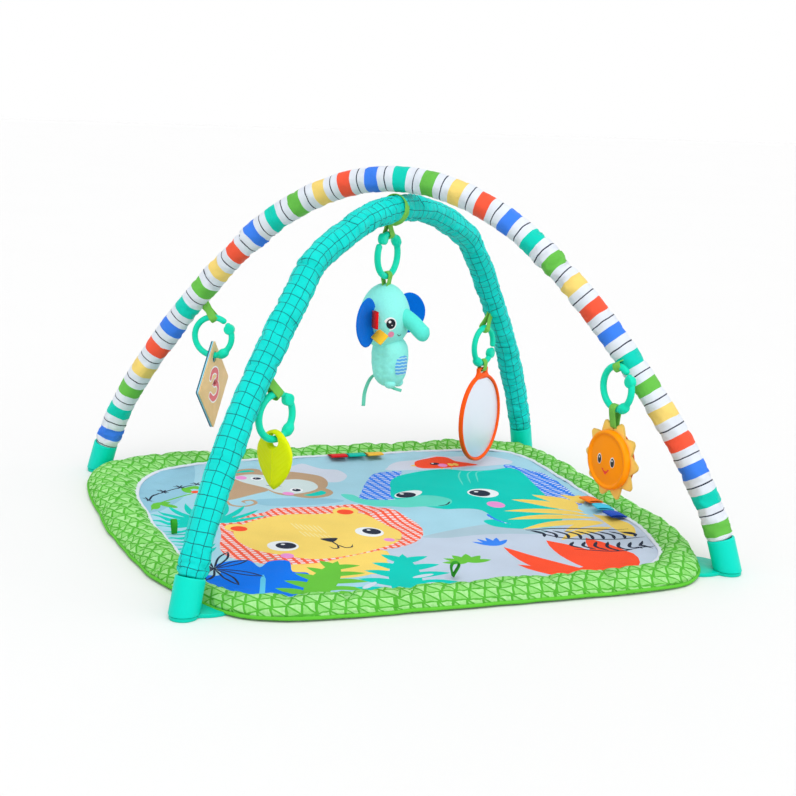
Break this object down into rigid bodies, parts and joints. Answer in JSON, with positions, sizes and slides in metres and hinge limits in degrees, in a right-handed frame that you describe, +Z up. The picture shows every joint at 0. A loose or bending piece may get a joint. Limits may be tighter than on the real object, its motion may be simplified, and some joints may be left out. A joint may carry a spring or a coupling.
{
  "type": "activity play gym",
  "caption": "Padded square floor mat with corner anchors, crossed fabric-sleeved toy bars on end caps, and toys hung from the bars on ring links.",
  "frame": {"origin": "floor level, in the middle of the four feet", "axes": "+X to the right and +Y to the back of the mat, +Z up"},
  "size_m": [0.7106, 0.6722, 0.4532],
  "materials": {
    "border_cloth": "woven, printed",
    "panel_cloth": "woven, printed",
    "piping_cloth": "woven bias tape",
    "foot_plastic": "satin",
    "ribbon_cloth": "satin ribbon",
    "strap_webbing": "woven ribbon",
    "tube_plastic": "satin",
    "grid_sleeve_cloth": "woven, printed",
    "striped_sleeve_cloth": "woven, printed",
    "ring_plastic": "satin",
    "card_face": "satin",
    "card_backing": "satin",
    "teether_rubber": "matt",
    "plush_cloth": "short plush",
    "ear_cloth": "woven",
    "trunk_cloth": "woven",
    "mirror_frame_plastic": "satin",
    "mirror_foil": "mirror film",
    "sun_plastic": "satin",
    "sun_back_plastic": "satin",
    "ray_cloth": "woven, printed",
    "bead_plastic": "satin"
  },
  "bodies": {
    "mat": {"mat_border": "border_cloth", "mat_panel": "panel_cloth", "mat_piping": "piping_cloth", "anchor_front_left": "foot_plastic", "anchor_front_right": "foot_plastic", "anchor_back_left": "foot_plastic", "anchor_back_right": "foot_plastic", "tag_ribbons_back": "ribbon_cloth", "tag_ribbons_right": "ribbon_cloth", "mat_loop_left": "strap_webbing", "mat_loop_front": "strap_webbing"},
    "toy_bars": {"end_cap_front_left": "foot_plastic", "tube_leg_front_left": "tube_plastic", "tube_elbow_front_left": "tube_plastic", "sleeve_leg_front_left": "grid_sleeve_cloth", "end_cap_front_right": "foot_plastic", "tube_leg_front_right": "tube_plastic", "tube_elbow_front_right": "tube_plastic", "sleeve_leg_front_right": "striped_sleeve_cloth", "end_cap_back_left": "foot_plastic", "tube_leg_back_left": "tube_plastic", "tube_elbow_back_left": "tube_plastic", "sleeve_leg_back_left": "striped_sleeve_cloth", "end_cap_back_right": "foot_plastic", "tube_leg_back_right": "tube_plastic", "tube_elbow_back_right": "tube_plastic", "sleeve_leg_back_right": "grid_sleeve_cloth", "tube_top_striped": "tube_plastic", "sleeve_top_striped": "striped_sleeve_cloth", "tube_top_teal": "tube_plastic", "sleeve_top_teal": "grid_sleeve_cloth", "strap_card": "strap_webbing", "strap_teether": "strap_webbing", "strap_mirror": "strap_webbing", "strap_sun": "strap_webbing", "strap_centre": "strap_webbing"},
    "ring_card": {"ring_link_card": "ring_plastic"},
    "card_back": {"card_back": "card_backing"},
    "card_middle": {"card_middle": "card_backing"},
    "card_front": {"card_front": "card_face"},
    "ring_teether": {"ring_link_teether": "ring_plastic"},
    "leaf_teether": {"leaf_teether": "teether_rubber"},
    "ring_elephant": {"ring_link_elephant": "ring_plastic"},
    "elephant": {"elephant_head": "plush_cloth", "elephant_body": "plush_cloth", "elephant_ear_near": "ear_cloth", "elephant_ear_far": "ear_cloth", "elephant_trunk": "trunk_cloth", "elephant_tail": "trunk_cloth", "elephant_loop": "strap_webbing"},
    "ring_mirror": {"ring_link_mirror": "ring_plastic"},
    "mirror": {"mirror_frame": "mirror_frame_plastic", "mirror_plate": "mirror_foil", "mirror_loop": "strap_webbing"},
    "ring_sun": {"ring_link_sun": "ring_plastic"},
    "sun_rattle": {"sun_face": "sun_plastic", "sun_back": "sun_back_plastic", "sun_rays": "ray_cloth", "rattle_bead": "bead_plastic", "sun_loop": "strap_webbing"}
  },
  "joints": [
    {"name": "bars_lift_off", "type": "slide", "parent": "mat", "child": "toy_bars", "axis": [0, 0, 1], "range_m": [0, 0.12]},
    {"name": "card_ring_swing", "type": "hinge", "parent": "toy_bars", "child": "ring_card", "pos_m": [-0.1936, 0.1826, 0.238], "axis": [0.8511, -0.525, 0], "range_deg": [-25, 25]},
    {"name": "card_back_swing", "type": "hinge", "parent": "ring_card", "child": "card_back", "pos_m": [-0.1936, 0.1826, 0.186], "axis": [0.8511, -0.525, 0], "range_deg": [-40, 40]},
    {"name": "card_middle_swing", "type": "hinge", "parent": "ring_card", "child": "card_middle", "pos_m": [-0.1936, 0.1826, 0.186], "axis": [0.8511, -0.525, 0], "range_deg": [-40, 40]},
    {"name": "card_front_swing", "type": "hinge", "parent": "ring_card", "child": "card_front", "pos_m": [-0.1936, 0.1826, 0.186], "axis": [0.8511, -0.525, 0], "range_deg": [-40, 40]},
    {"name": "teether_ring_swing", "type": "hinge", "parent": "toy_bars", "child": "ring_teether", "pos_m": [-0.2075, -0.1995, 0.2155], "axis": [0.87, 0.493, 0], "range_deg": [-25, 25]},
    {"name": "leaf_teether_swing", "type": "hinge", "parent": "ring_teether", "child": "leaf_teether", "pos_m": [-0.2075, -0.1995, 0.1635], "axis": [0.87, 0.493, 0], "range_deg": [-35, 35]},
    {"name": "elephant_ring_swing", "type": "hinge", "parent": "toy_bars", "child": "ring_elephant", "pos_m": [-0.0195, -0.0178, 0.373], "axis": [0.7389, 0.6739, 0], "range_deg": [-25, 25]},
    {"name": "elephant_swing", "type": "hinge", "parent": "ring_elephant", "child": "elephant", "pos_m": [-0.0195, -0.0178, 0.321], "axis": [0.7389, 0.6739, 0], "range_deg": [-30, 30]},
    {"name": "mirror_ring_swing", "type": "hinge", "parent": "toy_bars", "child": "ring_mirror", "pos_m": [0.2075, 0.1922, 0.216], "axis": [0.803, 0.596, 0], "range_deg": [-25, 25]},
    {"name": "mirror_swing", "type": "hinge", "parent": "ring_mirror", "child": "mirror", "pos_m": [0.2075, 0.1922, 0.164], "axis": [0.803, 0.596, 0], "range_deg": [-25, 25]},
    {"name": "sun_ring_swing", "type": "hinge", "parent": "toy_bars", "child": "ring_sun", "pos_m": [0.208, -0.216, 0.2395], "axis": [0.2021, -0.9794, 0], "range_deg": [-25, 8]},
    {"name": "sun_rattle_swing", "type": "hinge", "parent": "ring_sun", "child": "sun_rattle", "pos_m": [0.208, -0.216, 0.1875], "axis": [0.2021, -0.9794, 0], "range_deg": [-30, 8]}
  ]
}
